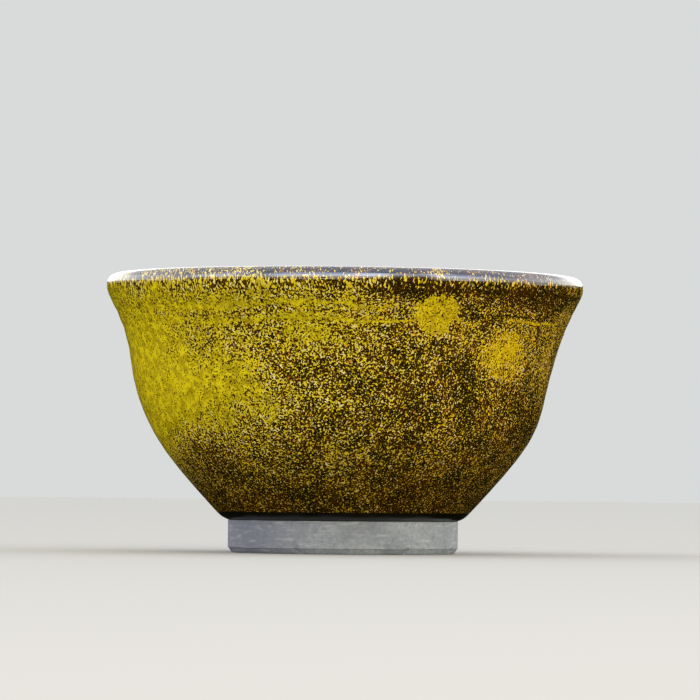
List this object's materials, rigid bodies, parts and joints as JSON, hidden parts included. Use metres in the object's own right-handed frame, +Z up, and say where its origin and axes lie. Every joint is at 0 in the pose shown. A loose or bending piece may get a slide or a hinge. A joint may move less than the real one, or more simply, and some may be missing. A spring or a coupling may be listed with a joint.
{
  "type": "gaiwan tea bowl",
  "caption": "Tea bowl of a gaiwan: flared lip, rounded wall, mottled yellow and dark iron glaze, bare grey stoneware foot ring.",
  "frame": {"origin": "centre of the flat face that the foot ring stands on", "axes": "+Z up along the bowl's turning axis"},
  "size_m": [0.112, 0.112, 0.065],
  "materials": {
    "stoneware": "bare fired grey stoneware, matt",
    "foot_stoneware": "bare fired grey stoneware, turned, matt",
    "glaze_bead": "thick dark iron glaze, glossy",
    "outer_glaze": "dark iron glaze with a dense yellow dust, glossy",
    "lip_glaze": "dark iron glaze with fine yellow dust, glossy",
    "inner_glaze": "dark iron glaze with yellow dust, glossy"
  },
  "bodies": {
    "root": {"clay_body": "stoneware", "foot_ring": "foot_stoneware", "glaze_roll": "glaze_bead", "outer_glaze": "outer_glaze", "lip_glaze": "lip_glaze", "inner_glaze": "inner_glaze"}
  },
  "joints": []
}
